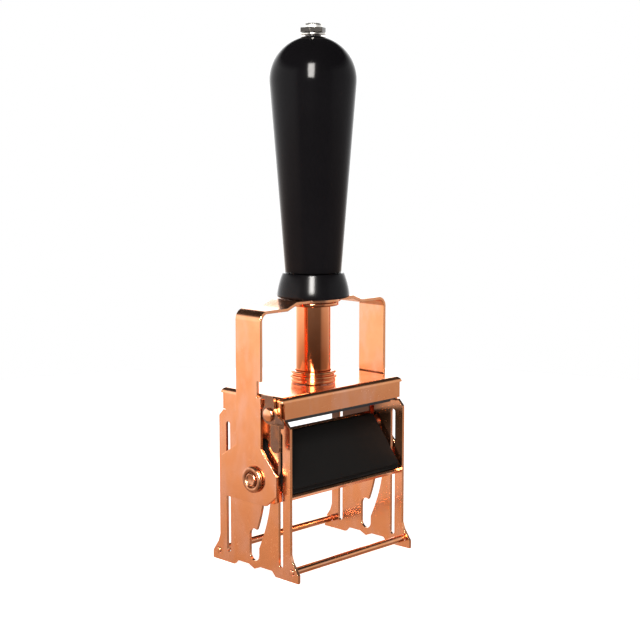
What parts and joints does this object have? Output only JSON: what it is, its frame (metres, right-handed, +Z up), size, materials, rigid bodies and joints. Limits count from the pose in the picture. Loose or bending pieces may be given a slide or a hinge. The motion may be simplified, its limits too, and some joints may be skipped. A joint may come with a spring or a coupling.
{
  "type": "self-inking hand stamp",
  "caption": "Copper-plated hand stamp: a turned handle pushes a sprung yoke down, which flips the die from its ink pad to the paper.",
  "frame": {"origin": "middle of the footprint, on the surface that the feet stand on", "axes": "+X along the printing line to the right plate, +Y to the rear, +Z up to the handle's cap nut; the die turns past the -Y front"},
  "size_m": [0.0754, 0.049, 0.2129],
  "materials": {
    "copper_plate": "bright copper plate over sheet steel",
    "tube_copper": "polished copper plate",
    "black_grip": "gloss black",
    "nickel": "nickel plate",
    "spring_steel": "bright steel",
    "dark_lever": "darkened copper plate",
    "die_rubber": "matte black rubber",
    "cushion_foam": "matte black foam rubber",
    "ink_felt": "inked felt",
    "tray_plastic": "matte black"
  },
  "bodies": {
    "frame": {"side_plate_left": "copper_plate", "side_plate_right": "copper_plate", "bridge_cover": "copper_plate", "base_rod_front": "copper_plate", "base_rod_rear": "copper_plate", "pad_rivet_left": "copper_plate", "pad_rivet_right": "copper_plate", "front_rivet_right": "copper_plate", "lock_rivet": "copper_plate", "guide_tube": "tube_copper", "guide_collar": "tube_copper", "tube_stud": "spring_steel", "stud_washer": "nickel", "stud_nut": "nickel", "pad_tray": "tray_plastic", "ink_pad": "ink_felt", "return_spring": "spring_steel"},
    "yoke": {"yoke_strap": "copper_plate", "pivot_screw_left": "copper_plate", "pivot_screw_right": "copper_plate", "pivot_washer_left": "copper_plate", "pivot_washer_right": "copper_plate", "handle_sleeve": "tube_copper", "ferrule": "black_grip", "handle_grip": "black_grip", "tie_rod": "spring_steel", "rod_nut": "nickel", "cap_washer": "nickel", "cap_nut": "nickel"},
    "carriage": {"die_carriage": "copper_plate", "crank_left": "copper_plate", "crank_right": "copper_plate", "crank_pin_left": "copper_plate", "crank_pin_right": "copper_plate", "die_cushion": "cushion_foam", "rubber_die": "die_rubber"},
    "lock": {"lock_lever": "dark_lever"}
  },
  "joints": [
    {"name": "handle_slide", "type": "slide", "parent": "frame", "child": "yoke", "axis": [0, 0, -1], "range_m": [-0.01037, 0.02552], "stiffness_N_per_m": 400, "springref_m": -0.00398, "deforming": ["return_spring"]},
    {"name": "die_flip", "type": "hinge", "parent": "yoke", "child": "carriage", "pos_m": [0, -0.003, 0.03783], "axis": [1, 0, 0], "range_deg": [-52, 128]},
    {"name": "lock_swing", "type": "hinge", "parent": "frame", "child": "lock", "pos_m": [-0.0349, -0.0115, 0.0645], "axis": [1, 0, 0], "range_deg": [0, 15]}
  ],
  "couplings": [
    {"joint": "die_flip", "follows": "handle_slide", "rad_per_m": 87.51}
  ]
}
